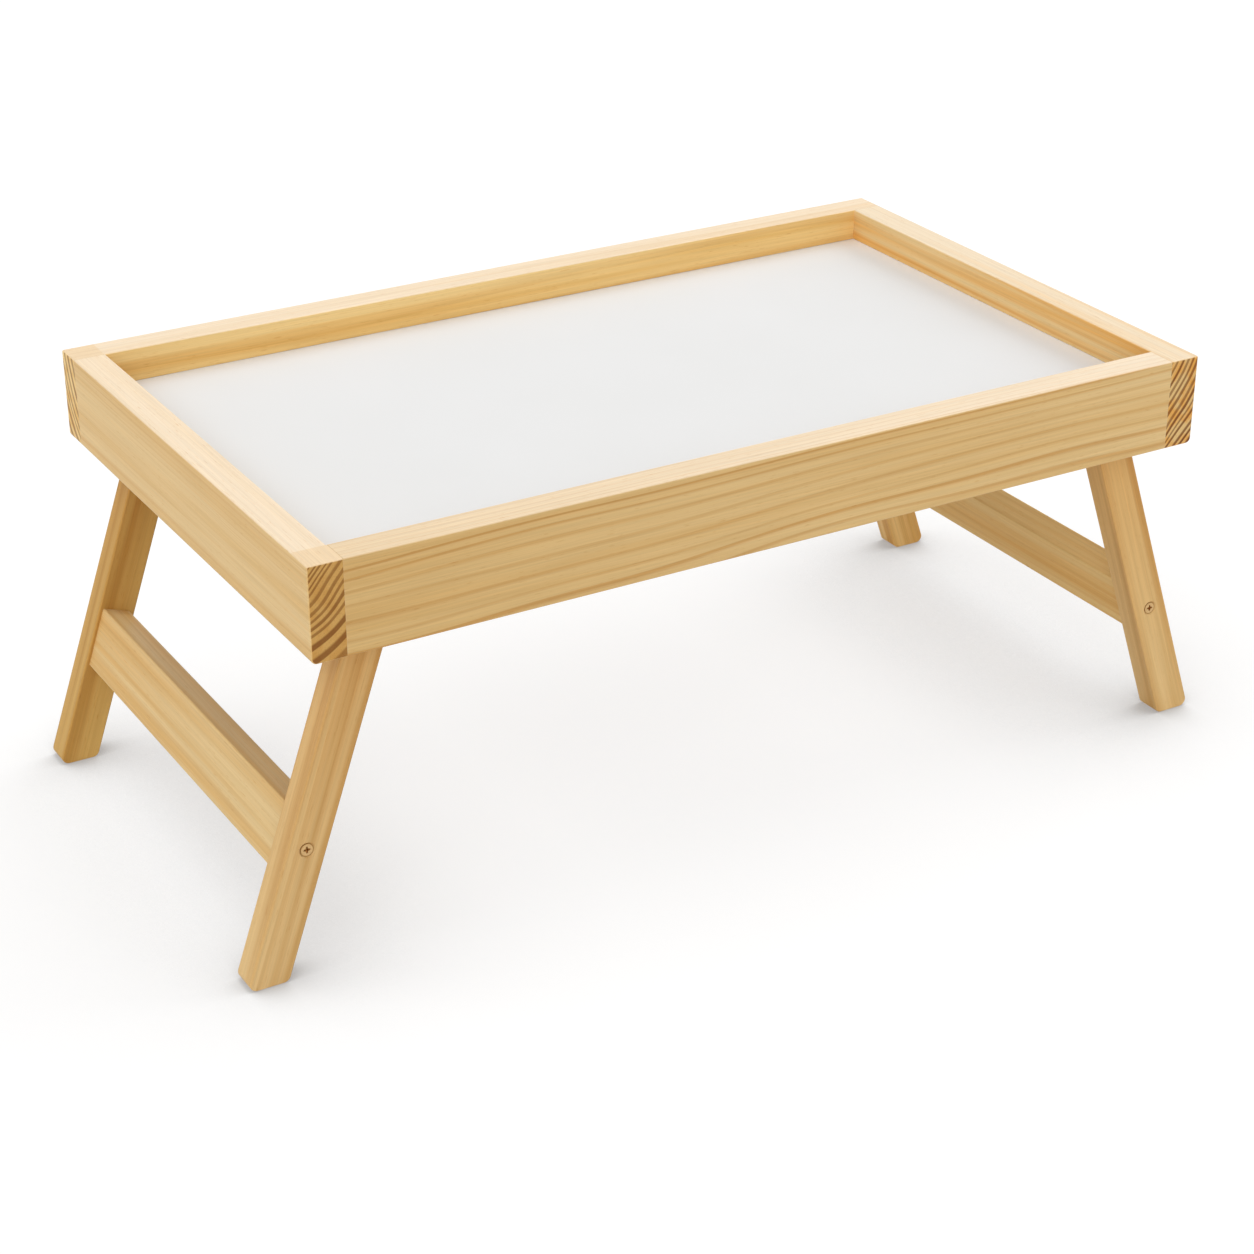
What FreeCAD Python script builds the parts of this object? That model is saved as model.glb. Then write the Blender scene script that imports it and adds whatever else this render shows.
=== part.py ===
"""Folding bed tray table in pine, built as separate boards, dowels and screws.

The origin is on the floor under the middle of the tray. X runs along the tray, -Y is its front
and +Z is up. Lengths are millimetres and the splay is in degrees.
"""

import FreeCAD, Part
import math
import os
import re
import Sketcher

SIZES = [
    ("tray_length", 520, "tray, outside, along X"),
    ("tray_width", 315, "tray, outside, along Y"),
    ("stand_height", 229, "floor to the rim"),
    ("rail_height", 50, "depth of the rails"),
    ("rail_thick", 18, "thickness of the rails"),
    ("rail_round", 1, "easing of the tray's edges"),
    ("lower_round", 3, "rounding under the side rails, outside"),
    ("panel_drop", 18.5, "rim down to the panel's face"),
    ("panel_thick", 4, "panel"),
    ("groove_depth", 6, "panel groove, into the rails"),
    ("groove_play", 0.2, "gap above the panel in its groove"),
    ("panel_play", 0.5, "gap round the panel's edge in its groove"),
    ("batten_thick", 9, "stop batten, off the side rail's face"),
    ("batten_lift", 2.5, "stop batten's lower edge above the rail's"),
    ("batten_round", 0.5, "easing of the stop batten's edges"),
    ("batten_end_play", 0.5, "gap at the stop batten's ends"),
    ("stop_play", 0.3, "gap between an open leg and its stop batten"),
    ("splay", 19, "open leg's lean from upright"),
    ("leg_width", 21, "leg, across its side profile"),
    ("leg_thick", 16, "leg, along Y"),
    ("leg_round", 1, "easing of the leg's edges"),
    ("leg_top_play", 3.2, "gap between a leg's round top and the panel"),
    ("foot_round", 4, "rounding of the foot's two ends"),
    ("stretcher_reach", 129, "pivot to the stretcher's middle, along the leg"),
    ("stretcher_height", 34, "stretcher, along the leg"),
    ("stretcher_thick", 16, "stretcher, across the leg"),
    ("stretcher_setback", 2, "stretcher's face behind the leg's outer edge"),
    ("stretcher_round", 1, "easing of the stretcher's edges"),
    ("washer_thick", 1, "pivot washers"),
    ("washer_radius", 7, "pivot washers, outside"),
    ("washer_play", 0.1, "washer's bore round the pivot screw"),
    ("bearing_play", 0.1, "gap at each face of a leg"),
    ("pivot_radius", 2.5, "pivot screw's plain shank"),
    ("pivot_play", 0.05, "leg's bore round the pivot screw"),
    ("pivot_head_radius", 5, "pivot screw's pan head"),
    ("pivot_head_height", 3, "pivot screw's pan head"),
    ("pivot_head_round", 1.5, "crown of the pan head"),
    ("pivot_thread_radius", 2, "pivot screw's thread, outside"),
    ("pivot_thread_length", 13, "pivot screw's thread, in the rail"),
    ("screw_head_radius", 3.5, "stretcher screw's countersunk head"),
    ("screw_rim", 0.4, "straight rim of the countersunk head"),
    ("screw_sink", 0.4, "countersunk head below the leg's face"),
    ("screw_radius", 1.75, "stretcher screw's plain shank"),
    ("screw_thread_radius", 1.6, "stretcher screw's thread, outside"),
    ("screw_length", 40, "stretcher screw, overall"),
    ("thread_pitch", 1.6, "wood screw's thread"),
    ("thread_cut", 0.45, "depth of the thread"),
    ("thread_play", 0.05, "pilot hole round a screw"),
    ("tip_length", 2.5, "screw's point"),
    ("tip_play", 0.5, "pilot hole beyond a screw's point"),
    ("recess_span", 3.6, "cross recess, across"),
    ("recess_arm", 0.9, "cross recess, width of an arm"),
    ("recess_depth", 1.4, "cross recess"),
    ("dowel_radius", 4, "corner dowel"),
    ("dowel_length", 30, "corner dowel"),
    ("dowel_in_rail", 12, "corner dowel, in the rail that runs through"),
    ("leg_dowel_radius", 3, "stretcher dowel"),
    ("leg_dowel_length", 24, "stretcher dowel"),
    ("dowel_in_leg", 10, "stretcher dowel, in the leg"),
    ("leg_dowel_offset", 11, "stretcher dowel, from the screw"),
    ("dowel_chamfer", 0.8, "dowel's ends"),
    ("glue_play", 0.05, "dowel hole round its dowel"),
    ("dowel_end_play", 0.5, "dowel hole beyond its dowel"),
]

# What follows from the driving sizes. Distances from the middle of the tray end in _x or _y.
PLACES = {
    "half_length": "tray_length / 2",
    "half_width": "tray_width / 2",
    "inner_x": "half_length - rail_thick",
    "inner_y": "half_width - rail_thick",
    "rail_bottom": "stand_height - rail_height",
    "panel_top": "stand_height - panel_drop",
    "panel_bottom": "panel_top - panel_thick",
    "groove_top": "panel_top + groove_play",
    "panel_reach": "groove_depth - panel_play",
    "batten_bottom": "rail_bottom + batten_lift",
    "leg_half": "leg_width / 2",
    "pivot_height": "panel_bottom - leg_top_play - leg_half",
    "batten_x": "inner_x - batten_thick",
    "stop_drop": "pivot_height - batten_bottom",
    "pivot_x": "batten_x - stop_drop * tan(splay) - (leg_half + stop_play) / cos(splay)",
    "outer_reach": "(pivot_height + leg_half * sin(splay)) / cos(splay)",
    "inner_reach": "(pivot_height - leg_half * sin(splay)) / cos(splay)",
    "leg_face_y": "inner_y - washer_thick - bearing_play",
    "leg_back_y": "leg_face_y - leg_thick",
    "head_seat_y": "leg_back_y - bearing_play - washer_thick",
    "pivot_shank": "inner_y - head_seat_y",
    "pilot_y": "inner_y + pivot_thread_length + tip_play",
    "screw_head_height": "screw_rim + screw_head_radius - screw_radius",
    "screw_hole": "screw_radius + thread_play",
    "screw_top_y": "leg_face_y - screw_sink",
    "screw_tip_y": "screw_top_y - screw_length",
    "dowel_hole": "dowel_radius + glue_play",
    "leg_dowel_hole": "leg_dowel_radius + glue_play",
    "dowel_in_end": "dowel_length - dowel_in_rail + dowel_end_play",
    "high_dowel": "stand_height - panel_drop / 2",
    "low_dowel": "(panel_bottom + rail_bottom) / 2",
    "corner_x": "half_length - rail_thick / 2",
    "corner_y": "half_width - rail_thick / 2",
    "thread_flank": "thread_pitch / 4",
    "thread_crest": "thread_pitch / 12",
}

# Left is -X and front is -Y.
SIDES = {"left": -1, "right": 1}
ENDS = {"front": -1, "back": 1}

doc = FreeCAD.newDocument("bed_tray_table")
sheet = doc.addObject("Spreadsheet::Sheet", "Sizes")
for row, (alias, value, note) in enumerate(SIZES, start=1):
    sheet.set(f"A{row}", note)
    sheet.set(f"B{row}", str(value))
    sheet.setAlias(f"B{row}", alias)
doc.recompute()

ALIASES = {alias for alias, value, note in SIZES}
subparts = []


def formula(text):
    """An expression over the sheet's cells, written with the plain names of SIZES and PLACES."""

    def spell(found):
        word = found.group()
        if word in PLACES:
            return f"({formula(PLACES[word])})"
        return f"Sizes.{word}" if word in ALIASES else word

    return re.sub(r"[a-z_]+", spell, text)


def size(text):
    """The present value of an expression."""
    return float(sheet.evalExpression(formula(text)))


def times(sign, text):
    """The expression, mirrored for the left side or the front when sign is -1."""
    return f"{sign} * ({text})"


def place(thing, x, y, z, rotation=None):
    """Puts a piece at a spot given by expressions."""
    thing.Placement = FreeCAD.Placement(FreeCAD.Vector(), rotation or FreeCAD.Rotation())
    for axis, text in zip("xyz", (x, y, z)):
        thing.setExpression(f"Placement.Base.{axis}", formula(text))


def subpart(thing, label):
    """Names a finished piece and keeps it for export."""
    thing.Label = label
    subparts.append(thing)


def new_body(label):
    return doc.addObject("PartDesign::Body", label)


def sketch_on(body, role, name, offset="0"):
    """A sketch on one of the body's origin planes, moved along that plane's normal."""
    sketch = body.newObject("Sketcher::SketchObject", name)
    plane = next(part for part in body.Origin.OriginFeatures if part.Role == role)
    sketch.AttachmentSupport = [(plane, "")]
    sketch.MapMode = "FlatFace"
    sketch.setExpression("AttachmentOffset.Base.z", formula(offset))
    return sketch


def pin(sketch, geometry, vertex, x, y):
    """Holds a vertex at x and y from the sketch's origin."""
    for direction, text in (("DistanceX", x), ("DistanceY", y)):
        number = sketch.addConstraint(
            Sketcher.Constraint(direction, -1, 1, geometry, vertex, size(text))
        )
        sketch.setExpression(f"Constraints[{number}]", formula(text))


def polygon(sketch, corners):
    """A closed outline through corners, each a pair of expressions."""
    first = sketch.GeometryCount
    spots = [FreeCAD.Vector(size(x), size(y), 0) for x, y in corners]
    count = len(corners)
    for index in range(count):
        line = Part.LineSegment(spots[index], spots[(index + 1) % count])
        sketch.addGeometry(line, False)
    for index in range(count):
        following = first + (index + 1) % count
        sketch.addConstraint(Sketcher.Constraint("Coincident", first + index, 2, following, 1))
    for index, (x, y) in enumerate(corners):
        pin(sketch, first + index, 1, x, y)


def rectangle(sketch, low, high):
    """An upright rectangle between two opposite corners."""
    polygon(sketch, [(low[0], low[1]), (high[0], low[1]), (high[0], high[1]), (low[0], high[1])])


def circle(sketch, x, y, radius):
    centre = FreeCAD.Vector(size(x), size(y), 0)
    ring = sketch.addGeometry(Part.Circle(centre, FreeCAD.Vector(0, 0, 1), size(radius)), False)
    pin(sketch, ring, 3, x, y)
    number = sketch.addConstraint(Sketcher.Constraint("Radius", ring, size(radius)))
    sketch.setExpression(f"Constraints[{number}]", formula(radius))


def pad(body, sketch, length, backwards=False):
    feature = body.newObject("PartDesign::Pad", sketch.Name + "_pad")
    feature.Profile = sketch
    feature.Reversed = backwards
    feature.setExpression("Length", formula(length))
    doc.recompute()


def pocket(body, sketch, length):
    """Cuts a sketch into the body against its normal, and checks that wood came away."""
    before = body.Shape.Volume
    feature = body.newObject("PartDesign::Pocket", sketch.Name + "_pocket")
    feature.Profile = sketch
    feature.setExpression("Length", formula(length))
    doc.recompute()
    if body.Shape.Volume >= before:
        raise RuntimeError(f"{feature.Name} cuts nothing")


def bore(body, name, axis, low, high, spots, radius):
    """Round holes along X or Y from low to high. Spots are the other two coordinates, in order."""
    role, offset = {"X": ("YZ_Plane", high), "Y": ("XZ_Plane", times(-1, low))}[axis]
    sketch = sketch_on(body, role, name, offset)
    for x, y in spots:
        circle(sketch, x, y, radius)
    pocket(body, sketch, f"({high}) - ({low})")


def board(label, x, y, z):
    """A body that fills a box; x, y and z are pairs of expressions, low then high."""
    body = new_body(label)
    sketch = sketch_on(body, "XY_Plane", label + "_plan", z[0])
    rectangle(sketch, (x[0], y[0]), (x[1], y[1]))
    pad(body, sketch, f"({z[1]}) - ({z[0]})")
    return body


def groove(body, name, x, y):
    """The panel's groove, which stops short of the end grain that shows."""
    sketch = sketch_on(body, "XY_Plane", name, "groove_top")
    rectangle(sketch, (x[0], y[0]), (x[1], y[1]))
    pocket(body, sketch, "groove_top - panel_bottom")


def edges_where(body, wanted):
    return [f"Edge{n}" for n, edge in enumerate(body.Shape.Edges, start=1) if wanted(edge)]


def dress(body, kind, name, wanted, amount):
    """A fillet or chamfer on the edges that wanted picks."""
    base = body.Tip
    chosen = edges_where(body, wanted)
    feature = body.newObject(f"PartDesign::{kind}", name)
    feature.Base = (base, chosen)
    feature.setExpression("Radius" if kind == "Fillet" else "Size", formula(amount))
    doc.recompute()


def near(first, second):
    return abs(first - second) < 1e-4


def span(edge, axis):
    """The edge's extent along an axis."""
    box = edge.BoundBox
    return {"X": box.XLength, "Y": box.YLength, "Z": box.ZLength}[axis]


def runs_along(edge, axis):
    return near(span(edge, axis), edge.Length) and edge.Length > 0


def turned(axis, degrees):
    return FreeCAD.Rotation(FreeCAD.Vector(*axis), degrees)


# The tray's frame is eased after glue-up, so one eased ring gives all four rails their edges.
def eased_frame():
    body = new_body("eased_frame")
    sketch = sketch_on(body, "XY_Plane", "frame_plan", "rail_bottom")
    rectangle(
        sketch,
        (times(-1, "half_length"), times(-1, "half_width")),
        ("half_length", "half_width"),
    )
    rectangle(sketch, (times(-1, "inner_x"), times(-1, "inner_y")), ("inner_x", "inner_y"))
    pad(body, sketch, "rail_height")

    def across(edge):
        return max(abs(edge.BoundBox.XMin), abs(edge.BoundBox.XMax))

    def under_side_rail(edge):
        outside = near(across(edge), size("half_length"))
        at_bottom = near(edge.BoundBox.ZMin, size("rail_bottom"))
        return runs_along(edge, "Y") and outside and at_bottom

    dress(body, "Fillet", "frame_lower_round", under_side_rail, "lower_round")

    def other_edge(edge):
        box = edge.BoundBox
        level = near(box.ZMin, box.ZMax)
        at_rim = level and near(box.ZMax, size("stand_height"))
        at_bottom = level and near(box.ZMin, size("rail_bottom"))
        inside = near(across(edge), size("inner_x"))
        deep = max(abs(box.YMin), abs(box.YMax))
        at_corner = near(across(edge), size("half_length")) and near(deep, size("half_width"))
        below = at_bottom and (inside or runs_along(edge, "X"))
        return at_rim or below or (at_corner and not level)

    dress(body, "Fillet", "frame_ease", other_edge, "rail_round")
    return body


def eased(blank, ring, label):
    """A rail: its blank with the edges of the eased frame."""
    common = doc.addObject("Part::Common", label)
    common.Base = blank
    common.Tool = ring
    subpart(common, label)


def long_rail(end_name, ring):
    """The front rail sits between the side rails. The back rail runs through behind them."""
    end = ENDS[end_name]
    label = end_name + "_rail"
    through = end_name == "back"
    reach = "half_length" if through else "inner_x"
    y = sorted((times(end, "inner_y"), times(end, "half_width")), key=size)
    z = ("rail_bottom", "stand_height")
    blank = board(label + "_blank", (times(-1, reach), reach), y, z)
    groove_reach = "inner_x + groove_depth" if through else reach
    groove_y = sorted((times(end, "inner_y"), times(end, "inner_y + groove_depth")), key=size)
    groove(blank, label + "_groove", (times(-1, groove_reach), groove_reach), groove_y)
    pilot_y = sorted((times(end, "inner_y"), times(end, "pilot_y")), key=size)
    pivots = [(times(side, "pivot_x"), "pivot_height") for side in SIDES.values()]
    bore(blank, label + "_pilots", "Y", *pilot_y, pivots, "pivot_thread_radius + thread_play")
    heights = ("high_dowel", "low_dowel")
    if through:
        ends = [times(side, "corner_x") for side in SIDES.values()]
        spots = [(x, height) for x in ends for height in heights]
        far = "inner_y + dowel_in_rail + dowel_end_play"
        bore(blank, label + "_dowel_holes", "Y", "inner_y", far, spots, "dowel_hole")
    else:
        for side_name, side in SIDES.items():
            x = sorted((times(side, "inner_x"), times(side, "inner_x - dowel_in_end")), key=size)
            spots = [(times(end, "corner_y"), height) for height in heights]
            bore(blank, f"{label}_{side_name}_dowel_holes", "X", *x, spots, "dowel_hole")
    eased(blank, ring, label)


def side_rail(side_name, ring):
    """A side rail reaches the front face and stops against the back rail."""
    side = SIDES[side_name]
    label = side_name + "_rail"
    x = sorted((times(side, "inner_x"), times(side, "half_length")), key=size)
    y = (times(-1, "half_width"), "inner_y")
    z = ("rail_bottom", "stand_height")
    blank = board(label + "_blank", x, y, z)
    groove_x = sorted((times(side, "inner_x"), times(side, "inner_x + groove_depth")), key=size)
    groove(blank, label + "_groove", groove_x, (times(-1, "inner_y + groove_depth"), "inner_y"))
    heights = ("high_dowel", "low_dowel")
    deep = "inner_x + dowel_in_rail + dowel_end_play"
    into_face = sorted((times(side, "inner_x"), times(side, deep)), key=size)
    front_spots = [(times(-1, "corner_y"), height) for height in heights]
    bore(blank, label + "_front_dowel_holes", "X", *into_face, front_spots, "dowel_hole")
    back_spots = [(times(side, "corner_x"), height) for height in heights]
    start = "inner_y - dowel_in_end"
    bore(blank, label + "_back_dowel_holes", "Y", start, "inner_y", back_spots, "dowel_hole")
    eased(blank, ring, label)


def tray_panel():
    """The panel lies in the rails' grooves."""
    x = "inner_x + panel_reach"
    y = "inner_y + panel_reach"
    body = board("tray_panel", (times(-1, x), x), (times(-1, y), y), ("panel_bottom", "panel_top"))
    subpart(body, "tray_panel")


def stop_batten(side_name):
    """A batten glued inside the side rail. It carries the panel and stops the open legs."""
    side = SIDES[side_name]
    label = side_name + "_stop_batten"
    x = sorted((times(side, "batten_x"), times(side, "inner_x")), key=size)
    y = "inner_y - batten_end_play"
    body = board(label, x, (times(-1, y), y), ("batten_bottom", "panel_bottom"))

    def lower_edge(edge):
        return runs_along(edge, "Y") and near(edge.BoundBox.ZMin, size("batten_bottom"))

    dress(body, "Fillet", label + "_ease", lower_edge, "batten_round")
    subpart(body, label)


def dowel(name, length, radius):
    """One beech dowel with chamfered ends, from the origin along +Z."""
    body = new_body(name)
    sketch = sketch_on(body, "XY_Plane", name + "_round")
    circle(sketch, "0", "0", radius)
    pad(body, sketch, length)

    def rim(edge):
        return near(edge.BoundBox.ZLength, 0)

    dress(body, "Chamfer", name + "_ends", rim, "dowel_chamfer")
    return body


def dowel_pair(label, dowels):
    pair = doc.addObject("Part::Compound", label)
    pair.Links = dowels
    subpart(pair, label)


def corner_dowels(side_name, end_name):
    """Two dowels from the rail that runs through into the end grain of the other."""
    side = SIDES[side_name]
    label = f"{end_name}_{side_name}_corner_dowels"
    dowels = []
    for height in ("high_dowel", "low_dowel"):
        piece = dowel(f"{label}_{height}", "dowel_length", "dowel_radius")
        if end_name == "front":
            x = times(side, "inner_x + dowel_in_rail")
            place(piece, x, times(-1, "corner_y"), height, turned((0, 1, 0), -90 * side))
        else:
            y = "inner_y + dowel_in_rail"
            place(piece, times(side, "corner_x"), y, height, turned((1, 0, 0), 90))
        dowels.append(piece)
    dowel_pair(label, dowels)


def splayed(thing, side, y):
    """Hangs a piece drawn about the pivot, with the leg pointing down, on an open leg frame."""
    rotation = turned((0, -side, 0), size("splay"))
    place(thing, times(side, "pivot_x"), y, "pivot_height", rotation)
    thing.setExpression("Placement.Rotation.Angle", formula("splay"))


def leg(side_name, end_name):
    """A leg: round at the top about its pivot, cut level at the foot."""
    side, end = SIDES[side_name], ENDS[end_name]
    label = f"{side_name}_{end_name}_leg"
    body = new_body(label)
    sketch = sketch_on(body, "XZ_Plane", label + "_outline")
    reaches = {side: "outer_reach", -side: "inner_reach"}
    corners = [
        ("leg_half", "0"),
        ("leg_half", times(-1, reaches[1])),
        (times(-1, "leg_half"), times(-1, reaches[-1])),
        (times(-1, "leg_half"), "0"),
    ]
    spots = [FreeCAD.Vector(size(x), size(y), 0) for x, y in corners]
    for start, finish in zip(spots, spots[1:]):
        sketch.addGeometry(Part.LineSegment(start, finish), False)
    top = Part.Circle(FreeCAD.Vector(), FreeCAD.Vector(0, 0, 1), size("leg_half"))
    arc = sketch.addGeometry(Part.ArcOfCircle(top, 0, math.pi), False)
    for index in range(arc - 1):
        sketch.addConstraint(Sketcher.Constraint("Coincident", index, 2, index + 1, 1))
    sketch.addConstraint(Sketcher.Constraint("Coincident", arc, 1, 0, 1))
    sketch.addConstraint(Sketcher.Constraint("Coincident", arc, 2, arc - 1, 2))
    sketch.addConstraint(Sketcher.Constraint("PointOnObject", arc, 3, -1))
    for index, (x, y) in enumerate(corners[:-1]):
        pin(sketch, index, 1, x, y)
    pin(sketch, arc - 1, 2, *corners[-1])
    pad(body, sketch, "leg_thick", backwards=end < 0)

    def foot_corner(edge):
        lowest = size(times(-1, "inner_reach")) + 1e-3
        return runs_along(edge, "Y") and edge.BoundBox.ZMax < lowest

    dress(body, "Fillet", label + "_foot", foot_corner, "foot_round")

    def face_edge(edge):
        return near(edge.BoundBox.YLength, 0)

    dress(body, "Fillet", label + "_ease", face_edge, "leg_round")

    through = sorted(("0", times(-end, "leg_thick")), key=size)
    bore(body, label + "_pivot_bore", "Y", *through, [("0", "0")], "pivot_radius + pivot_play")
    screw_spot = [("0", times(-1, "stretcher_reach"))]
    bore(body, label + "_screw_hole", "Y", *through, screw_spot, "screw_hole")

    def screw_mouth(edge):
        box = edge.BoundBox
        round_hole = near(box.XLength, 2 * size("screw_hole")) and near(box.YLength, 0)
        return round_hole and near(box.YMin, 0)

    sink = "screw_head_radius + glue_play + screw_rim + screw_sink - screw_hole"
    dress(body, "Chamfer", label + "_countersink", screw_mouth, sink)
    bottom = times(-end, "leg_thick - dowel_in_leg - dowel_end_play")
    blind = sorted((times(-end, "leg_thick"), bottom), key=size)
    spots = leg_dowel_spots()
    bore(body, label + "_dowel_holes", "Y", *blind, spots, "leg_dowel_hole")
    splayed(body, side, times(end, "leg_face_y"))
    subpart(body, label)


def leg_dowel_spots():
    return [("0", times(-1, reach)) for reach in leg_dowel_reaches()]


def leg_dowel_reaches():
    """Where the two dowels lie along the leg, above and below the screw."""
    return ["stretcher_reach - leg_dowel_offset", "stretcher_reach + leg_dowel_offset"]


def stretcher(side_name):
    """The board between two legs."""
    side = SIDES[side_name]
    label = side_name + "_stretcher"
    body = new_body(label)
    sketch = sketch_on(body, "XZ_Plane", label + "_section", "leg_back_y")
    outer = "leg_half - stretcher_setback"
    x = sorted((times(side, outer), times(side, f"{outer} - stretcher_thick")), key=size)
    low = times(-1, "stretcher_reach + stretcher_height / 2")
    high = times(-1, "stretcher_reach - stretcher_height / 2")
    rectangle(sketch, (x[0], low), (x[1], high))
    pad(body, sketch, "2 * leg_back_y", backwards=True)

    def long_edge(edge):
        return runs_along(edge, "Y")

    dress(body, "Fillet", label + "_ease", long_edge, "stretcher_round")
    for end_name, end in ENDS.items():
        name = f"{label}_{end_name}"
        screw_y = sorted((times(end, "leg_back_y"), times(end, "screw_tip_y - tip_play")), key=size)
        screw_spot = [("0", times(-1, "stretcher_reach"))]
        bore(body, name + "_pilot", "Y", *screw_y, screw_spot, "screw_hole")
        deep = "leg_back_y - (leg_dowel_length - dowel_in_leg) - dowel_end_play"
        dowel_y = sorted((times(end, "leg_back_y"), times(end, deep)), key=size)
        spots = leg_dowel_spots()
        bore(body, name + "_dowel_holes", "Y", *dowel_y, spots, "leg_dowel_hole")
    splayed(body, side, "0")
    subpart(body, label)


def on_leg(side, reach):
    """World X and Z of a spot on the leg's centre line, reach below the pivot."""
    x = times(side, f"pivot_x + ({reach}) * sin(splay)")
    return x, f"pivot_height - ({reach}) * cos(splay)"


def leg_dowels(side_name, end_name):
    """Two dowels beside the screw, so that the stretcher can't turn on it."""
    side, end = SIDES[side_name], ENDS[end_name]
    label = f"{side_name}_{end_name}_leg_dowels"
    dowels = []
    for number, reach in enumerate(leg_dowel_reaches(), start=1):
        piece = dowel(f"{label}_{number}", "leg_dowel_length", "leg_dowel_radius")
        x, z = on_leg(side, reach)
        place(piece, x, times(end, "leg_back_y + dowel_in_leg"), z, turned((1, 0, 0), 90 * end))
        dowels.append(piece)
    dowel_pair(label, dowels)


def screw_blank(body, name, head, shank_end, thread_radius, tip_end):
    """Revolves a wood screw that points down -Z. Head lists its profile down to the shank."""
    threaded = size(tip_end) - size(shank_end) - size("tip_length")
    turns = int(threaded / size("thread_pitch"))
    root = f"{thread_radius} - thread_cut"
    profile = [("0", "0")] + head + [(head[-1][0], times(-1, shank_end))]
    for turn in range(turns):
        top = f"{shank_end} + {turn} * thread_pitch"
        profile.append((root, times(-1, top)))
        profile.append((root, times(-1, f"{top} + thread_flank")))
        profile.append((thread_radius, times(-1, f"{top} + 2 * thread_flank")))
        profile.append((thread_radius, times(-1, f"{top} + 2 * thread_flank + thread_crest")))
    profile.append((root, times(-1, f"{tip_end} - tip_length")))
    profile.append(("0", times(-1, tip_end)))
    sketch = sketch_on(body, "XZ_Plane", name + "_profile")
    polygon(sketch, profile)
    feature = body.newObject("PartDesign::Revolution", name + "_turning")
    feature.Profile = sketch
    feature.ReferenceAxis = (sketch, ["V_Axis"])
    doc.recompute()


def cross_recess(body, name):
    """The driver's cross, cut into the head."""
    sketch = sketch_on(body, "XY_Plane", name + "_recess")
    arm, tip = "recess_arm / 2", "recess_span / 2"
    quarter = [(tip, arm), (arm, arm), (arm, tip)]
    cross = []
    for x_sign, y_sign in ((1, 1), (-1, 1), (-1, -1), (1, -1)):
        corners = quarter if x_sign * y_sign > 0 else quarter[::-1]
        cross += [(times(x_sign, x), times(y_sign, y)) for x, y in corners]
    polygon(sketch, cross)
    pocket(body, sketch, "recess_depth")


def stretcher_screw(side_name, end_name):
    """A countersunk screw through the leg into the stretcher's end grain."""
    side, end = SIDES[side_name], ENDS[end_name]
    label = f"{side_name}_{end_name}_stretcher_screw"
    body = new_body(label)
    head = [
        ("screw_head_radius", "0"),
        ("screw_head_radius", times(-1, "screw_rim")),
        ("screw_radius", times(-1, "screw_head_height")),
    ]
    screw_blank(body, label, head, "leg_thick - screw_sink", "screw_thread_radius", "screw_length")
    cross_recess(body, label)
    x, z = on_leg(side, "stretcher_reach")
    place(body, x, times(end, "screw_top_y"), z, turned((1, 0, 0), -90 * end))
    subpart(body, label)


def pivot_screw(side_name, end_name):
    """A pan head screw from inside the tray, through washer, leg and washer into the rail."""
    side, end = SIDES[side_name], ENDS[end_name]
    label = f"{side_name}_{end_name}_pivot_screw"
    body = new_body(label)
    head = [
        ("pivot_head_radius", "0"),
        ("pivot_head_radius", times(-1, "pivot_head_height")),
        ("pivot_radius", times(-1, "pivot_head_height")),
    ]
    shank_end = "pivot_head_height + pivot_shank"
    tip_end = f"{shank_end} + pivot_thread_length"
    screw_blank(body, label, head, shank_end, "pivot_thread_radius", tip_end)

    def crown(edge):
        box = edge.BoundBox
        return near(box.ZMin, 0) and near(box.ZMax, 0)

    dress(body, "Fillet", label + "_crown", crown, "pivot_head_round")
    cross_recess(body, label)
    y = times(end, "head_seat_y - pivot_head_height")
    place(body, times(side, "pivot_x"), y, "pivot_height", turned((1, 0, 0), 90 * end))
    subpart(body, label)


def washer(label, side, end, seat):
    """A flat washer with one face at seat from the tray's middle, and the other further in."""
    disc = doc.addObject("Part::Cylinder", label + "_disc")
    disc.setExpression("Radius", formula("washer_radius"))
    disc.setExpression("Height", formula("washer_thick"))
    eye = doc.addObject("Part::Cylinder", label + "_eye")
    eye.setExpression("Radius", formula("pivot_radius + washer_play"))
    eye.setExpression("Height", formula("washer_thick"))
    ring = doc.addObject("Part::Cut", label)
    ring.Base = disc
    ring.Tool = eye
    facing_in = turned((1, 0, 0), 90 * end)
    place(ring, times(side, "pivot_x"), times(end, seat), "pivot_height", facing_in)
    subpart(ring, label)


def export():
    """Writes one STEP file for each sub-part, once every object is sound."""
    doc.recompute()
    failed = [thing.Label for thing in doc.Objects if {"Invalid", "Error"} & set(thing.State)]
    if failed:
        raise RuntimeError(f"not recomputed: {failed}")
    unsound = [s.Label for s in subparts if s.Shape.isNull() or not s.Shape.isValid()]
    if unsound:
        raise RuntimeError(f"null or invalid: {unsound}")
    os.makedirs("parts", exist_ok=True)
    for thing in subparts:
        thing.Shape.exportStep(f"parts/{thing.Label}.step")
    whole = Part.makeCompound([thing.Shape for thing in subparts]).optimalBoundingBox(False, False)
    print(f"{len(subparts)} sub-parts")
    print(f"{whole.XLength:.2f} x {whole.YLength:.2f} x {whole.ZLength:.2f} mm, lowest {whole.ZMin:.3f}")
    print(f"pivots at x {size('pivot_x'):.4f}, z {size('pivot_height'):.4f} mm")


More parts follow.
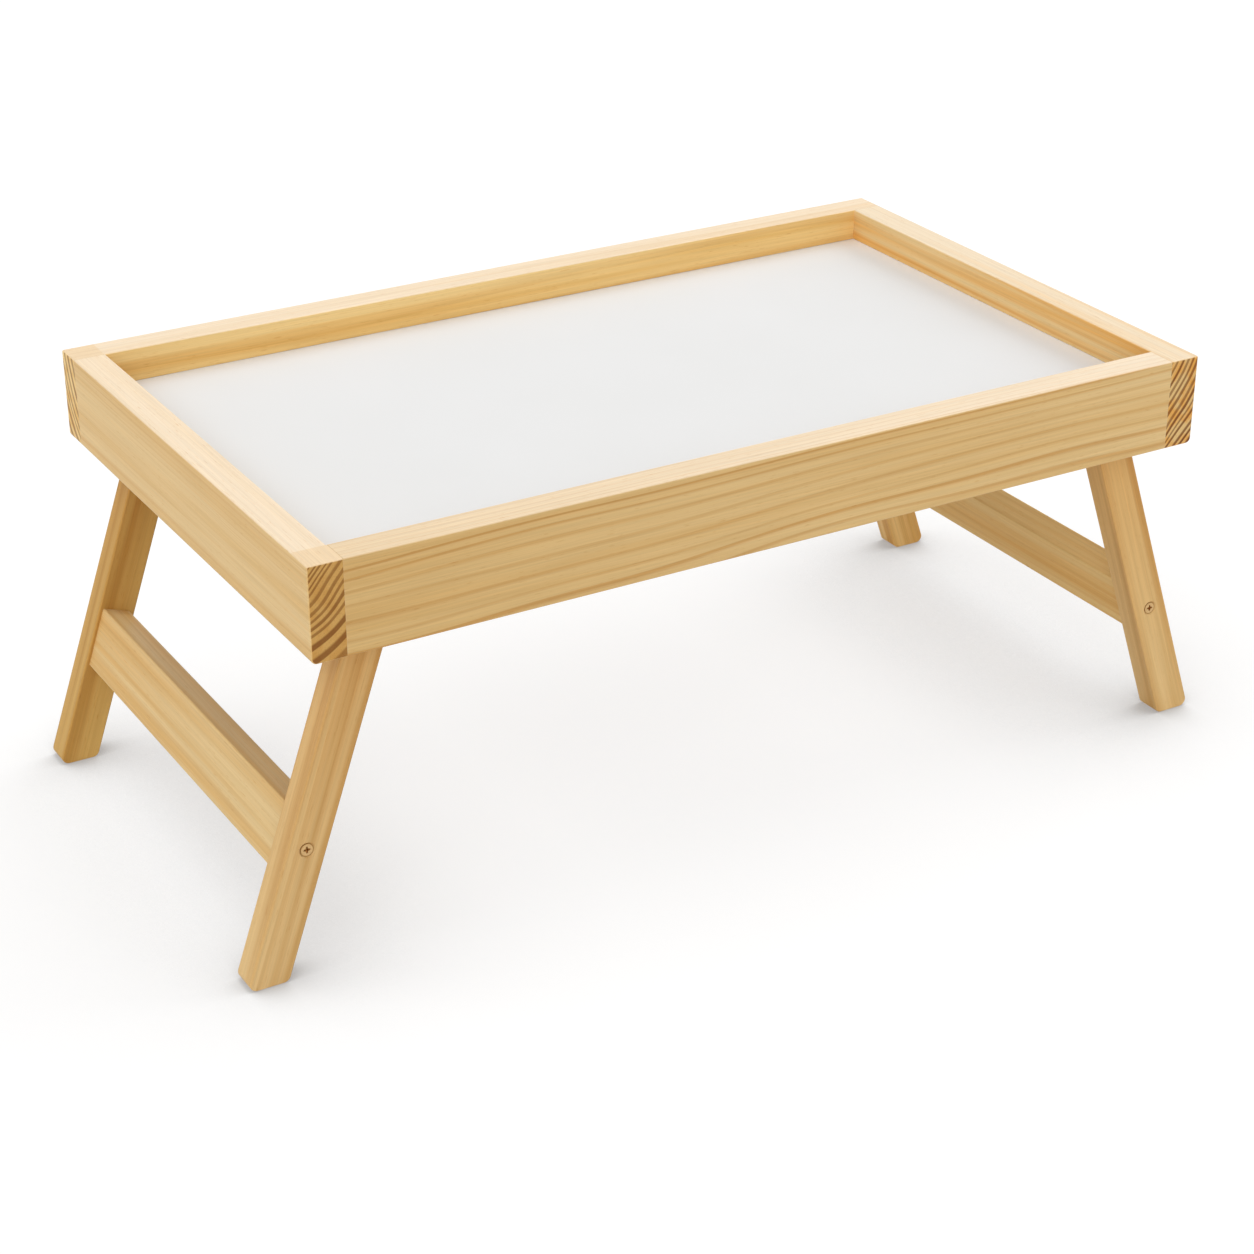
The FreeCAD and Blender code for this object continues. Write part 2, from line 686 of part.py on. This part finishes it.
frame_ring = eased_frame()
for end_name in ENDS:
    long_rail(end_name, frame_ring)
for side_name in SIDES:
    side_rail(side_name, frame_ring)
tray_panel()
for side_name in SIDES:
    stop_batten(side_name)
    stretcher(side_name)
    for end_name, end in ENDS.items():
        side = SIDES[side_name]
        corner = f"{side_name}_{end_name}"
        corner_dowels(side_name, end_name)
        leg(side_name, end_name)
        leg_dowels(side_name, end_name)
        stretcher_screw(side_name, end_name)
        pivot_screw(side_name, end_name)
        washer(f"{corner}_spacer_washer", side, end, "inner_y")
        washer(f"{corner}_head_washer", side, end, "head_seat_y + washer_thick")
export()
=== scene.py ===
"""Folding bed tray table in lacquered pine, on a plain white floor.

Blender's lengths are metres. Inside the wood's pattern they are millimetres, along and across the
board. X runs along the tray, -Y is its front and +Z is up.
"""

import math

import bmesh
import bpy
from mathutils import Euler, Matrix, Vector


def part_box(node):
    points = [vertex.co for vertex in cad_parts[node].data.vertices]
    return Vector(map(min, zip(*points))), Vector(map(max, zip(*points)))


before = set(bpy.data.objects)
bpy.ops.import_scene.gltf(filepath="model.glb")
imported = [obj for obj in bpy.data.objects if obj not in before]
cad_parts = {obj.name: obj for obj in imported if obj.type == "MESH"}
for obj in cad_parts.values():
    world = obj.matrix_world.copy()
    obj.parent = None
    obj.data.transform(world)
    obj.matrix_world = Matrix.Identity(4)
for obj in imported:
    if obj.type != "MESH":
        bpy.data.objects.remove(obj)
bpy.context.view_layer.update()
mm = 0.001

# ------------------------------------------------------------------------------------------------
# Rails: four boards of planed pine, butted, dowelled and glued into the tray's frame, under a clear
# satin lacquer. The side rails show their end grain at the front, the back rail at both sides.
# ------------------------------------------------------------------------------------------------

SIDES = {"left": -1, "right": 1}
ENDS = {"front": -1, "back": 1}
RIM_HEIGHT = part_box("front_rail")[1].z
RAIL_THICKNESS = 18.0

# How far below the rim its painted sheen begins and is full, how softly the soaked end stops, and
# how wide the hairline at a joint is, in mm.
PAINTED_SHEEN_BEGINS = 0.7
PAINTED_SHEEN_FULL = 0.1
SOAK_EDGE = 1.0
GLUE_LINE = 0.6
# The hairline's colour: a glue line on the rim, a painted highlight of the eased edge on the face.
GLUE_AND_EDGE_HIGHLIGHT = "#E3C595"

# The share of a year after which its line stops, and how many mm planing leaves the hard late wood
# proud.
WINTER = 0.93
LATE_WOOD_PROUD = 0.06

# Satin lacquer, sprayed: a thin clear film over the wood, so a soft sheen and no mirror image.
LACQUER = {
    "Roughness": 0.5,
    "Specular IOR Level": 0.15,
    "Coat Weight": 0.12,
    "Coat Roughness": 0.38,
    "Coat IOR": 1.5,
}

# Streaks that run with the grain: size across and along it in mm, and detail.
STREAKS = {
    "sway": (45.0, 260.0, 1.0),
    "band": (8.0, 420.0, 2.0),
    "fibre": (0.7, 55.0, 4.0),
    "fleck": (0.45, 7.0, 1.0),
}


def linear(code):
    """A Blender colour from an sRGB hex code."""
    channels = [int(code[start : start + 2], 16) / 255 for start in (1, 3, 5)]
    curve = [c / 12.92 if c <= 0.04045 else ((c + 0.055) / 1.055) ** 2.4 for c in channels]
    return (*curve, 1.0)


def add(tree, kind, sockets, **settings):
    """Adds a node. A socket takes a plain value, a hex colour, a node or one of its outputs."""
    node = tree.nodes.new("ShaderNode" + kind)
    for name, value in settings.items():
        setattr(node, name, value)
    usable = [socket for socket in node.inputs if socket.enabled]
    for place, value in sockets.items():
        if isinstance(place, int):
            socket = usable[place]
        else:
            socket = next(socket for socket in usable if socket.name == place)
        if isinstance(value, bpy.types.Node):
            value = next(output for output in value.outputs if output.enabled)
        if isinstance(value, bpy.types.NodeSocket):
            tree.links.new(value, socket)
        else:
            socket.default_value = linear(value) if isinstance(value, str) else value
    return node


def new_material(name):
    """A material and its empty node tree."""
    material = bpy.data.materials.new(name)
    material.use_nodes = True
    material.node_tree.nodes.clear()
    return material, material.node_tree


def finish(node, material):
    """Gives a piece that comes from the CAD its finish."""
    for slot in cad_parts[node].material_slots:
        slot.material = material


def pine(node, turn, wood, pith, ring, even=1.0, lean=(0, 0), butts=(), seed=0):
    """Planed pine as one solid pattern, so that each growth ring on a face meets its own end grain.

    turn lays the board's length along X. The pith, the centre of the growth rings, lies beside the
    board at (across, up) in mm. ring is the width of a year at the middle of the board in mm. With
    even at 1 all years are as wide, and below it they widen away from the pith. lean is the log's
    slope against the board in mm for each mm, and butts are the ends glued to another board.
    """
    low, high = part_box(node)
    material, tree = new_material(f"lacquered_pine_{node}")
    spot = add(tree, "TexCoord", {})
    grid = add(
        tree,
        "Mapping",
        {
            "Vector": spot.outputs["Object"],
            "Location": (low + high) / 2,
            "Rotation": turn,
            "Scale": (mm, mm, mm),
        },
        vector_type="TEXTURE",
    )
    along = add(tree, "SeparateXYZ", {0: grid})

    # The seed gives each board its own part of every pattern.
    streak = {}
    for name, (across, length, detail) in STREAKS.items():
        stretched = add(
            tree,
            "Mapping",
            {
                "Vector": grid,
                "Location": (seed, 0.7 * seed, 1.3 * seed),
                "Scale": (1 / length, 1 / across, 1 / across),
            },
        )
        streak[name] = add(tree, "TexNoise", {"Vector": stretched, "Scale": 1.0, "Detail": detail})

    # Growth rings: the distance from the pith, with the sway of a trunk.
    sway = wood["sway"]
    swayed = add(
        tree,
        "VectorMath",
        {0: streak["sway"].outputs["Color"], 1: (0, sway, sway), 2: grid},
        operation="MULTIPLY_ADD",
    )
    from_pith = add(
        tree,
        "Mapping",
        {
            "Vector": swayed,
            "Location": (0, -pith[0] - sway / 2, -pith[1] - sway / 2),
            "Rotation": (0, -lean[1], lean[0]),
        },
    )
    crosswise = add(tree, "VectorMath", {0: from_pith, 1: (0, 1, 1)}, operation="MULTIPLY")
    distance = add(tree, "VectorMath", {0: crosswise}, operation="LENGTH").outputs["Value"]
    reach = math.hypot(*pith)
    outward = add(tree, "Math", {0: distance, 1: reach}, operation="DIVIDE")
    widening = add(tree, "Math", {0: outward, 1: even}, operation="POWER")
    years = add(tree, "Math", {0: widening, 1: reach / (ring * even)}, operation="MULTIPLY")
    slow = add(tree, "Math", {0: years, 1: 0.35, 2: seed}, operation="MULTIPLY_ADD")
    uneven = add(tree, "TexNoise", {"W": slow, "Scale": 1.0}, noise_dimensions="1D")
    age = add(tree, "Math", {0: uneven, 1: wood["uneven"], 2: years}, operation="MULTIPLY_ADD")

    # Late wood: each year ends in a dark line that grows slowly and stops at once. A face and the
    # end grain show the same years, each with a line of its own strength.
    season = add(tree, "Math", {0: age}, operation="FRACT")
    year = add(tree, "Math", {0: age}, operation="FLOOR")
    calendar = add(tree, "Math", {0: year, 1: seed}, operation="ADD")
    weather = add(tree, "TexWhiteNoise", {"W": calendar}, noise_dimensions="1D")
    resting = add(
        tree,
        "MapRange",
        {"Value": season, "From Min": WINTER, "From Max": 1.0, "To Min": 1.0, "To Max": 0.0},
        interpolation_type="SMOOTHSTEP",
    )
    lines = []
    for start, peak, depth, faintest in (wood["face_line"], wood["end_line"]):
        growing = add(
            tree,
            "MapRange",
            {"Value": season, "From Min": start, "From Max": peak},
            interpolation_type="SMOOTHSTEP",
        )
        strength = add(
            tree,
            "MapRange",
            {"Value": weather.outputs["Value"], "To Min": depth * faintest, "To Max": depth},
        )
        lasting = add(tree, "Math", {0: resting, 1: strength}, operation="MULTIPLY")
        lines.append(add(tree, "Math", {0: growing, 1: lasting}, operation="MULTIPLY"))

    # End grain shows where a face looks along the board. It drinks the lacquer, so it is darker and
    # its lines are bolder.
    grain_way = Euler(turn).to_matrix() @ Vector((1, 0, 0))
    normal = spot.outputs["Normal"]
    looks_along = add(tree, "VectorMath", {0: normal, 1: grain_way}, operation="DOT_PRODUCT")
    squareness = add(tree, "Math", {0: looks_along.outputs["Value"]}, operation="ABSOLUTE")
    on_end = add(tree, "MapRange", {"Value": squareness, "From Min": 0.75, "From Max": 0.95})
    grounds = {"Factor": on_end, "A": wood["face"], "B": wood["end"]}
    ground = add(tree, "Mix", grounds, data_type="RGBA")
    tints = {"Factor": on_end, "A": wood["late"], "B": wood["end_late"]}
    tint = add(tree, "Mix", tints, data_type="RGBA")
    late = add(tree, "Mix", {"Factor": on_end, "A": lines[0], "B": lines[1]})
    banding = add(
        tree,
        "MapRange",
        {"Value": streak["band"], "From Min": 0.38, "From Max": 0.7, "To Max": wood["banding"]},
        interpolation_type="SMOOTHSTEP",
    )

    # The rim's top face is given a paler colour, a painted sheen that stands for the top light on
    # it, and its lines and bands are washed out under it. Near a board's left or front end it is a
    # little darker, where the lacquer has soaked in from the end grain.
    half = abs((high - low).dot(grain_way)) / 2 / mm
    if "rim" in wood:
        height = add(tree, "SeparateXYZ", {0: spot.outputs["Object"]}).outputs["Z"]
        on_rim = add(
            tree,
            "MapRange",
            {
                "Value": height,
                "From Min": RIM_HEIGHT - PAINTED_SHEEN_BEGINS * mm,
                "From Max": RIM_HEIGHT - PAINTED_SHEEN_FULL * mm,
            },
        )
        # Painted sheen: the rim's pale colour stands in for the light on the top face.
        painted_sheen = {"Factor": on_rim, "A": ground, "B": wood["rim"]}
        ground = add(tree, "Mix", painted_sheen, data_type="RGBA")
        washed_by_sheen = add(tree, "MapRange", {"Value": on_rim, "To Min": 1.0, "To Max": wood["rim_line_under_sheen"]})
        late = add(tree, "Math", {0: late, 1: washed_by_sheen}, operation="MULTIPLY")
        banding = add(tree, "Math", {0: banding, 1: washed_by_sheen}, operation="MULTIPLY")
        near_end = add(
            tree,
            "MapRange",
            {
                "Value": along.outputs["X"],
                "From Min": RAIL_THICKNESS - half,
                "From Max": RAIL_THICKNESS - half - SOAK_EDGE,
                "To Max": wood["soaked"],
            },
        )
        soaked = add(tree, "Math", {0: near_end, 1: on_rim}, operation="MULTIPLY")
        banding = add(tree, "Math", {0: banding, 1: soaked}, operation="MAXIMUM")

    # A hairline where the board's end meets another board: darker than the rim, a line of glue and
    # lacquer, and paler than the face, a painted highlight of the eased edge.
    for butt in butts:
        towards_end = add(tree, "Math", {0: along.outputs["X"], 1: butt}, operation="MULTIPLY")
        joint = add(
            tree,
            "MapRange",
            {
                "Value": towards_end,
                "From Min": half - GLUE_LINE,
                "From Max": half - GLUE_LINE / 2,
                "To Max": 0.7,
            },
        )
        ground = add(tree, "Mix", {"Factor": joint, "A": ground, "B": GLUE_AND_EDGE_HIGHLIGHT}, data_type="RGBA")

    # Fibres, and the short dark flecks of resin canals.
    fibre = add(
        tree,
        "MapRange",
        {
            "Value": streak["fibre"],
            "From Min": 0.25,
            "From Max": 0.75,
            "To Min": 1 - wood["fibre"],
            "To Max": 1 + wood["fibre"],
        },
    )
    canals = add(
        tree,
        "MapRange",
        {"Value": streak["fleck"], "From Min": 0.66, "From Max": 0.76, "To Max": wood["flecks"]},
    )
    to_first_end = add(
        tree,
        "MapRange",
        {"Value": along.outputs["X"], "From Min": half, "From Max": -half},
    )
    colour = ground
    for amount, filter_colour in (
        (late, tint),
        (banding, wood["band"]),
        (to_first_end, wood["first_end"]),
        (1.0, fibre),
        (canals, tint),
    ):
        colour = add(
            tree,
            "Mix",
            {"Factor": amount, "A": colour, "B": filter_colour},
            data_type="RGBA",
            blend_type="MULTIPLY",
        )

    relief = add(tree, "Math", {0: late, 1: 0.5, 2: streak["fibre"]}, operation="MULTIPLY_ADD")
    proud = {"Height": relief, "Strength": 0.35, "Distance": LATE_WOOD_PROUD * mm}
    bump = add(tree, "Bump", proud)
    shader = add(tree, "BsdfPrincipled", {"Base Color": colour, "Normal": bump, **LACQUER})
    add(tree, "OutputMaterial", {"Surface": shader})
    finish(node, material)


# Pine sapwood: straw yellow that the lacquer warms. late, end_late, band and first_end are filters
# over the wood's own colour. The last one is full at the board's left, front or upper end and fades
# along its length; on a leg it darkens the upper end, a painted shade under the tray that is partly
# the wood's own stain. rim is the top face's colour, a painted sheen. A line's four numbers are
# where in the year it starts and peaks, its depth, and how much of that the faintest year has.
RAIL_PINE = {
    "face": "#DAB87C",
    "end": "#CBA05A",
    # rim: the top face's colour, a painted sheen that stands for the light on it.
    "rim": "#FAE5C7",
    "late": "#DCB468",
    "end_late": "#A07A4E",
    "band": "#F3E3C3",
    "first_end": "#FFFFFF",
    "banding": 0.5,
    "rim_line_under_sheen": 0.4,
    "soaked": 0.0,
    "face_line": (0.6, 0.85, 0.55, 0.45),
    "end_line": (0.4, 0.62, 0.9, 0.7),
    "sway": 8.0,
    "uneven": 1.0,
    "fibre": 0.08,
    "flecks": 0.4,
}
FRONT_PINE = dict(RAIL_PINE, face="#E1C28B", rim="#FCE9CE", first_end="#F3EBDB")
LEFT_PINE = dict(
    RAIL_PINE,
    face="#E2C28A",
    end="#CC9E57",
    end_late="#A27F4C",
    face_line=(0.4, 0.85, 0.22, 0.1),
    rim_line_under_sheen=0.3,
    soaked=0.5,
    banding=0.6,
)
RIGHT_PINE = dict(
    RAIL_PINE,
    face="#E2C28A",
    end="#E1BC7C",
    rim="#F6E2C3",
    end_late="#84591F",
    band="#FFDD9C",
    face_line=(0.5, 0.9, 0.3, 0.4),
    end_line=(0.35, 0.6, 0.95, 0.7),
    banding=1.0,
)
BACK_PINE = dict(
    RAIL_PINE,
    # Painted light: paler than the other rails, for the light the white panel throws on it.
    face="#F0CE8C",
    end="#EECE8D",
    face_line=(0.5, 0.9, 0.3, 0.4),
    soaked=0.5,
    banding=1.0,
)
ALONG_X = (0, 0, 0)
ALONG_Y = (0, 0, math.radians(90))

pine(
    "front_rail",
    ALONG_X,
    FRONT_PINE,
    pith=(100, -60),
    ring=3.4,
    lean=(0.004, -0.012),
    butts=(-1, 1),
    seed=3,
)
pine("back_rail", ALONG_X, BACK_PINE, pith=(-68, 40), ring=4.8, lean=(0.003, -0.006), seed=11)
pine(
    "left_rail",
    ALONG_Y,
    LEFT_PINE,
    pith=(45, 54),
    ring=3.8,
    even=-0.8,
    lean=(0.004, -0.004),
    butts=(1,),
    seed=23,
)
pine(
    "right_rail",
    ALONG_Y,
    RIGHT_PINE,
    pith=(92, 60),
    ring=3.4,
    lean=(-0.004, 0.003),
    butts=(1,),
    seed=37,
)

# ------------------------------------------------------------------------------------------------
# Panel: 4 mm hardboard with a white melamine face, held in a groove in the rails. The face is
# smooth and satin, and the underside is bare brown fibre board.
# ------------------------------------------------------------------------------------------------

MELAMINE_DEPTH = 0.5
FIBRE_TUFT = 1.2
CLOUD_WIDTH = 90.0

# Melamine paper: an even white with a low sheen, so that it stays just under white even where it
# mirrors a lamp. Hardboard: pressed brown fibre, quite matt.
material, tree = new_material("melamine_faced_hardboard")
spot = add(tree, "TexCoord", {}).outputs["Object"]
height = add(tree, "SeparateXYZ", {0: spot}).outputs["Z"]
face_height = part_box("tray_panel")[1].z - MELAMINE_DEPTH * mm
is_face = add(tree, "Math", {0: height, 1: face_height}, operation="GREATER_THAN")
fluff = add(tree, "TexNoise", {"Vector": spot, "Scale": 1 / (FIBRE_TUFT * mm), "Detail": 4.0})
board = add(tree, "Mix", {"Factor": fluff, "A": "#7A5836", "B": "#A37D54"}, data_type="RGBA")
cloud = add(tree, "TexNoise", {"Vector": spot, "Scale": 1 / (CLOUD_WIDTH * mm), "Detail": 2.0})
white = add(tree, "Mix", {"Factor": cloud, "A": "#EFEFEF", "B": "#EBEBEA"}, data_type="RGBA")
colour = add(tree, "Mix", {"Factor": is_face, "A": board, "B": white}, data_type="RGBA")
shader = add(
    tree,
    "BsdfPrincipled",
    {"Base Color": colour, "Roughness": 0.6, "Specular IOR Level": 0.15},
)
add(tree, "OutputMaterial", {"Surface": shader})
finish("tray_panel", material)

# ------------------------------------------------------------------------------------------------
# Stop battens: strips of the same pine, glued inside the side rails under the panel, where each
# leg frame comes to rest when it stands.
# ------------------------------------------------------------------------------------------------

for name, side in SIDES.items():
    pine(
        f"{name}_stop_batten",
        ALONG_Y,
        RAIL_PINE,
        pith=(20 * side, -40),
        ring=2.6,
        seed=41 + side,
    )

# ------------------------------------------------------------------------------------------------
# Legs and stretchers: planed pine of a smaller section, with the same lacquer. They are cut nearer
# the bark, so their rings are broad, soft streaks. Each stretcher is screwed between two legs.
# ------------------------------------------------------------------------------------------------

SPLAY = math.radians(19)

# Painted light and shade: each leg and stretcher has a lighter or darker copy of the pine's colour,
# for how much light falls on it beside and under the tray.
LEG_LIGHT_AND_SHADE = {
    "left_front": "#E1BF86",
    "left_back": "#CFA860",
    "right_front": "#E6C387",
    "right_back": "#EDC681",
}
STRETCHER_LIGHT_AND_SHADE = {"left": "#DFC18A", "right": "#EFCB86"}
LEG_PINE = dict(
    RAIL_PINE,
    face_line=(0.2, 0.8, 0.3, 0.1),
    band="#E6D5B8",
    # Painted shade, partly stain: first_end darkens each leg towards its upper end, under the tray.
    first_end="#EFDFC6",
    banding=1.0,
    sway=6.0,
)
del LEG_PINE["rim"]
STRETCHER_PINE = dict(
    LEG_PINE,
    face_line=(0.3, 0.85, 0.2, 0.1),
    band="#F3DCB2",
    first_end="#FFFFFF",
    banding=0.8,
    sway=12.0,
)

for name, side in SIDES.items():
    down_leg = (0, math.radians(90) - side * SPLAY, 0)
    for end_name, end in ENDS.items():
        pine(
            f"{name}_{end_name}_leg",
            down_leg,
            dict(LEG_PINE, face=LEG_LIGHT_AND_SHADE[f"{name}_{end_name}"]),
            pith=(42 * end, 60),
            ring=7.0,
            seed=50 + 7 * side + 3 * end,
        )
    pine(
        f"{name}_stretcher",
        (-side * SPLAY, 0, math.radians(90)),
        dict(STRETCHER_PINE, face=STRETCHER_LIGHT_AND_SHADE[name]),
        pith=(50, 50 * side),
        ring=5.2,
        seed=71 + side,
    )

# ------------------------------------------------------------------------------------------------
# Dowels: turned beech, glued into the corner joints and between the legs and the stretchers.
# They are raw and show only while the tray is taken apart.
# ------------------------------------------------------------------------------------------------

BEECH_FLECK = 1.5

# Beech: pinkish brown with short flecks, and matt because no lacquer reaches it.
material, tree = new_material("raw_beech")
spot = add(tree, "TexCoord", {}).outputs["Object"]
fleck = add(tree, "TexNoise", {"Vector": spot, "Scale": 1 / (BEECH_FLECK * mm), "Detail": 3.0})
colour = add(tree, "Mix", {"Factor": fleck, "A": "#C59A6B", "B": "#D9B58B"}, data_type="RGBA")
shader = add(tree, "BsdfPrincipled", {"Base Color": colour, "Roughness": 0.7})
add(tree, "OutputMaterial", {"Surface": shader})
for name in SIDES:
    for end_name in ENDS:
        finish(f"{end_name}_{name}_corner_dowels", material)
        finish(f"{name}_{end_name}_leg_dowels", material)

# ------------------------------------------------------------------------------------------------
# Screws and washers: turned and stamped steel. The stretcher screws, which show at the front, are
# yellow zinc, and the pivot screws and their washers are bright zinc.
# ------------------------------------------------------------------------------------------------

HEAD_RADIUS = 3.5
RECESS_RADIUS = 1.4
EDGE_SHADE_BEGINS = 0.6
EDGE_SHADE_FULL = 0.2
RECESS_SHADE_FADE = 0.4
ZINC_HAZE = 0.8

for name in SIDES:
    for end_name in ENDS:
        # Yellow zinc plate: a warm, slightly cloudy metal. Painted shade darkens the ring round the
        # head's edge, where it sits in its countersink, and the driver's cross.
        screw = f"{name}_{end_name}_stretcher_screw"
        low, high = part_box(screw)
        material, tree = new_material(f"yellow_zinc_{screw}")
        spot = add(tree, "TexCoord", {}).outputs["Object"]
        from_axis = add(
            tree,
            "Mapping",
            {"Vector": spot, "Location": (low + high) / 2, "Scale": (mm, mm, mm)},
            vector_type="TEXTURE",
        )
        haze = add(tree, "TexNoise", {"Vector": from_axis, "Scale": 1 / ZINC_HAZE, "Detail": 3.0})
        sheen = add(tree, "MapRange", {"Value": haze, "To Min": 0.35, "To Max": 0.55})
        plate = add(tree, "Mix", {"Factor": haze, "A": "#D2A86C", "B": "#EBCB98"}, data_type="RGBA")
        flattened = add(tree, "VectorMath", {0: from_axis, 1: (1, 0, 1)}, operation="MULTIPLY")
        radius = add(tree, "VectorMath", {0: flattened}, operation="LENGTH").outputs["Value"]
        edge = add(
            tree,
            "MapRange",
            {
                "Value": radius,
                "From Min": HEAD_RADIUS - EDGE_SHADE_BEGINS,
                "From Max": HEAD_RADIUS - EDGE_SHADE_FULL,
            },
        )
        middle = add(
            tree,
            "MapRange",
            {
                "Value": radius,
                "From Min": RECESS_RADIUS,
                "From Max": RECESS_RADIUS - RECESS_SHADE_FADE,
            },
        )
        painted_shade = add(tree, "Math", {0: edge, 1: middle}, operation="MAXIMUM")
        # Painted shade: the darker colour in the ring round the head and in the recess.
        colour = add(tree, "Mix", {"Factor": painted_shade, "A": plate, "B": "#B08750"}, data_type="RGBA")
        metal = {"Base Color": colour, "Metallic": 1.0, "Roughness": sheen}
        shader = add(tree, "BsdfPrincipled", metal)
        add(tree, "OutputMaterial", {"Surface": shader})
        finish(screw, material)

# Bright zinc plate: a cool, slightly cloudy metal.
material, tree = new_material("bright_zinc_steel")
spot = add(tree, "TexCoord", {}).outputs["Object"]
haze = add(tree, "TexNoise", {"Vector": spot, "Scale": 1 / (ZINC_HAZE * mm), "Detail": 3.0})
sheen = add(tree, "MapRange", {"Value": haze, "To Min": 0.3, "To Max": 0.5})
colour = add(tree, "Mix", {"Factor": haze, "A": "#A3A5A7", "B": "#D2D2CE"}, data_type="RGBA")
metal = {"Base Color": colour, "Metallic": 1.0, "Roughness": sheen}
shader = add(tree, "BsdfPrincipled", metal)
add(tree, "OutputMaterial", {"Surface": shader})
for name in SIDES:
    for end_name in ENDS:
        for kind in ("pivot_screw", "spacer_washer", "head_washer"):
            finish(f"{name}_{end_name}_{kind}", material)

# ------------------------------------------------------------------------------------------------
# Floor: a plain white sheet that keeps a faint shadow. It can be looked through from below, so
# that the table's underside can be seen.
# ------------------------------------------------------------------------------------------------

FLOOR_REACH = 6.0
FLOOR_DROP = 0.2 * mm
CONTACT_REACH = 170 * mm
SOLE_REACH = 0.8 * mm
GLOW = 0.78
CONTACT_GLOW = 0.31
SOLE_GLOW = 0.7
SHADE = 0.28
PAPER = 0.85

sheet = bmesh.new()
bmesh.ops.create_grid(sheet, x_segments=1, y_segments=1, size=FLOOR_REACH)
bmesh.ops.translate(sheet, verts=sheet.verts, vec=(0, 0, -FLOOR_DROP))
mesh = bpy.data.meshes.new("floor")
sheet.to_mesh(mesh)
sheet.free()
floor = bpy.data.objects.new("floor", mesh)
bpy.context.scene.collection.objects.link(floor)

# White paper, lit from all round. To the camera it is a glow and a little diffuse white, and both
# together just reach white where nothing stands near. Beside the feet and under the tray the glow
# falls off, which gives the soft contact shade.
material, tree = new_material("white_paper")
path = add(tree, "LightPath", {})
openness = add(tree, "AmbientOcclusion", {"Distance": CONTACT_REACH}, samples=12).outputs["AO"]
glow = add(
    tree,
    "MapRange",
    {
        "Value": openness,
        "From Min": 0.5,
        "From Max": 0.94,
        "To Min": CONTACT_GLOW,
        "To Max": GLOW,
    },
)
white = add(tree, "Emission", {"Strength": glow})
shaded = add(tree, "BsdfDiffuse", {"Color": (SHADE, SHADE, SHADE, 1)})
seen = add(tree, "AddShader", {0: white, 1: shaded})

# The wood meets plain paper. Only a ray this short comes from the sole of a foot, and it meets a
# light, so that the soles aren't black from below.
reflected = add(tree, "BsdfDiffuse", {"Color": (PAPER, PAPER, PAPER, 1)})
ray_length = path.outputs["Ray Length"]
from_sole = add(tree, "Math", {0: ray_length, 1: SOLE_REACH}, operation="LESS_THAN")
sole_light = add(tree, "Emission", {"Strength": SOLE_GLOW})
bounced = add(tree, "MixShader", {"Fac": from_sole, 1: reflected, 2: sole_light})
face = add(tree, "MixShader", {"Fac": path.outputs["Is Camera Ray"], 1: bounced, 2: seen})
clear = add(tree, "BsdfTransparent", {})
below = add(tree, "NewGeometry", {}).outputs["Backfacing"]
either = add(tree, "MixShader", {"Fac": below, 1: face, 2: clear})
add(tree, "OutputMaterial", {"Surface": either})
floor.data.materials.append(material)

# ------------------------------------------------------------------------------------------------
# Light: a white room and three broad soft lights, one overhead from the left, a low one from the
# front and one from the right. Together they keep the tray's white panel just under white.
# ------------------------------------------------------------------------------------------------

AMBIENT = 0.44

# The room is plain white to the eye and in a mirror, and as a light it is AMBIENT bright.
world = bpy.data.worlds.new("white_room")
bpy.context.scene.world = world
world.use_nodes = True
tree = world.node_tree
path = add(tree, "LightPath", {})
mirrored = path.outputs["Is Glossy Ray"]
through = path.outputs["Is Transmission Ray"]
indirectly = add(tree, "Math", {0: mirrored, 1: through}, operation="MAXIMUM")
seen = add(tree, "Math", {0: path.outputs["Is Camera Ray"], 1: indirectly}, operation="MAXIMUM")
level = add(tree, "MapRange", {"Value": seen, "To Min": AMBIENT, "To Max": 1.0})
tree.links.new(level.outputs[0], tree.nodes["Background"].inputs["Strength"])
tree.nodes["Background"].inputs["Color"].default_value = (1, 1, 1, 1)

for name, from_way, spread, level in (
    ("overhead", (-1.5, 0.5, 2.0), 50, 0.27),
    ("front_fill", (-1.3, -2.0, 0.9), 60, 0.36),
    ("right_fill", (2.0, 0.3, 1.3), 50, 0.40),
):
    lamp = bpy.data.lights.new(name, "SUN")
    lamp.angle = math.radians(spread)
    lamp.energy = level * math.pi
    stand = bpy.data.objects.new(name, lamp)
    stand.location = from_way
    stand.rotation_euler = Vector(from_way).to_track_quat("Z", "Y").to_euler()
    bpy.context.scene.collection.objects.link(stand)

# ------------------------------------------------------------------------------------------------
# Camera: where the corners of the tray and the feet fall as they do in the photograph.
# ------------------------------------------------------------------------------------------------

CAMERA_PLACE = (-0.7059, -1.2039, 0.7653)
AZIMUTH = math.radians(-30.35)
ELEVATION = math.radians(26.65)
FILM_WIDTH = 36.0
FOCAL_LENGTH = 79.9

lens = bpy.data.cameras.new("camera")
lens.sensor_width = FILM_WIDTH
lens.lens = FOCAL_LENGTH
camera = bpy.data.objects.new("camera", lens)
camera.location = CAMERA_PLACE
view_way = Vector(
    (
        -math.sin(AZIMUTH) * math.cos(ELEVATION),
        math.cos(AZIMUTH) * math.cos(ELEVATION),
        -math.sin(ELEVATION),
    )
)
camera.rotation_euler = view_way.to_track_quat("-Z", "Y").to_euler()
bpy.context.scene.collection.objects.link(camera)
bpy.context.scene.camera = camera
bpy.context.scene.view_settings.view_transform = "Standard"
